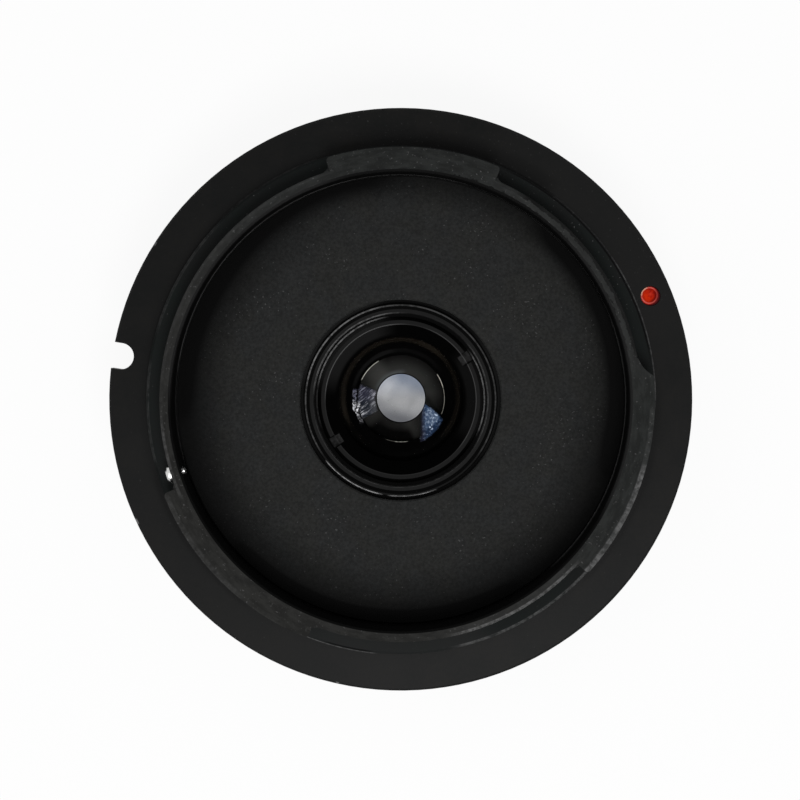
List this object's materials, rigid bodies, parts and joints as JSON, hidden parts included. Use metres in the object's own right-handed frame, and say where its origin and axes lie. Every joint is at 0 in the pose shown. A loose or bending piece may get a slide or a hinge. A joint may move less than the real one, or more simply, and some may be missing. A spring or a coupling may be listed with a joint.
{
  "type": "prime lens",
  "caption": "Thin prime lens with a bayonet mount ring, recessed rear plate, fixed stop, lens cell moved by a helical cam ring, focusing lever and fluted grip housing.",
  "frame": {"origin": "the optical axis at the plane of the flange face that seats on the camera", "axes": "+Z along the optical axis into the camera, which is up as the lens stands on its front rim; +X and +Y lie in the flange plane, with the red index dot 22.7 degrees from +X towards +Y"},
  "size_m": [0.0621, 0.062, 0.0208],
  "materials": {
    "anodised_mount": "satin",
    "anodised_housing": "satin",
    "blasted_plate": "matte",
    "scale_face": "matte",
    "black_cell": "satin",
    "black_barrel": "matte",
    "optical_black": "matte",
    "cam_brass": "satin",
    "lever_black": "satin",
    "grip_pad": "satin",
    "steel": "polished",
    "black_steel": "satin",
    "shim_steel": "satin",
    "washer_polymer": "matte",
    "roller_polymer": "matte",
    "red_enamel": "gloss",
    "optical_glass": "polished"
  },
  "bodies": {
    "housing": {"mount_ring": "anodised_mount", "index_dot": "red_enamel", "stop_screw": "steel", "rear_plate": "blasted_plate", "grip_housing": "anodised_housing", "scale_plate": "scale_face", "guide_barrel": "black_barrel", "infinity_shim": "shim_steel", "thrust_washer": "washer_polymer", "housing_screws": "black_steel", "barrel_screws": "black_steel"},
    "focus_ring": {"cam_ring": "cam_brass", "lever_ring": "lever_black", "lever_grip": "grip_pad", "lever_screws": "black_steel"},
    "optical_cell": {"lens_cell": "black_cell", "cam_followers": "steel", "follower_rollers": "roller_polymer", "rear_retaining_ring": "optical_black", "rear_element": "optical_glass", "rear_spacer": "optical_black", "fourth_element": "optical_glass", "stop_ring": "optical_black", "third_element": "optical_glass", "second_element": "optical_glass", "front_spacer": "optical_black", "front_element": "optical_glass", "front_retaining_ring": "optical_black", "front_ring": "black_cell"}
  },
  "joints": [
    {"name": "focus_turn", "type": "hinge", "parent": "housing", "child": "focus_ring", "pos_m": [0, 0, -0.0148], "axis": [0, 0, 1], "range_deg": [0, 90]},
    {"name": "cell_slide", "type": "slide", "parent": "housing", "child": "optical_cell", "axis": [0, 0, -1], "range_m": [0, 0.0024]}
  ],
  "couplings": [
    {"joint": "cell_slide", "follows": "focus_turn", "m_per_rad": 0.0015279}
  ]
}
